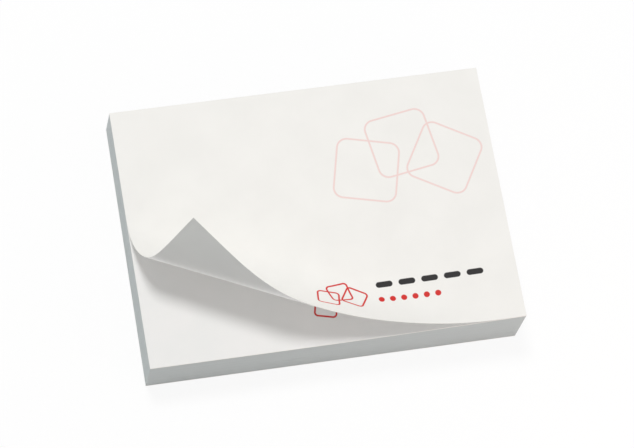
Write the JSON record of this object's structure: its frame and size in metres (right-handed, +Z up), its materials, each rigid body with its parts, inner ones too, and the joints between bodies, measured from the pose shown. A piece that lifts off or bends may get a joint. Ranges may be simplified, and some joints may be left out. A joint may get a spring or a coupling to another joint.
{
  "type": "sticky note pad",
  "caption": "Rectangular pad of sticky notes, glued along the back edge, with the top note's front-left corner rolled up and over.",
  "frame": {"origin": "centre of the underside of the backing sheet", "axes": "+X to the right along the glued edge, +Y from the loose front edge to the glued back edge, +Z up from the surface that the pad lies on"},
  "size_m": [0.1055, 0.0759, 0.0417],
  "materials": {
    "backing_paper": "matt",
    "block_paper": "matt",
    "note_paper": "matt"
  },
  "bodies": {
    "root": {"backing_sheet": "backing_paper", "note_block": "block_paper", "top_note": "note_paper"}
  },
  "joints": []
}
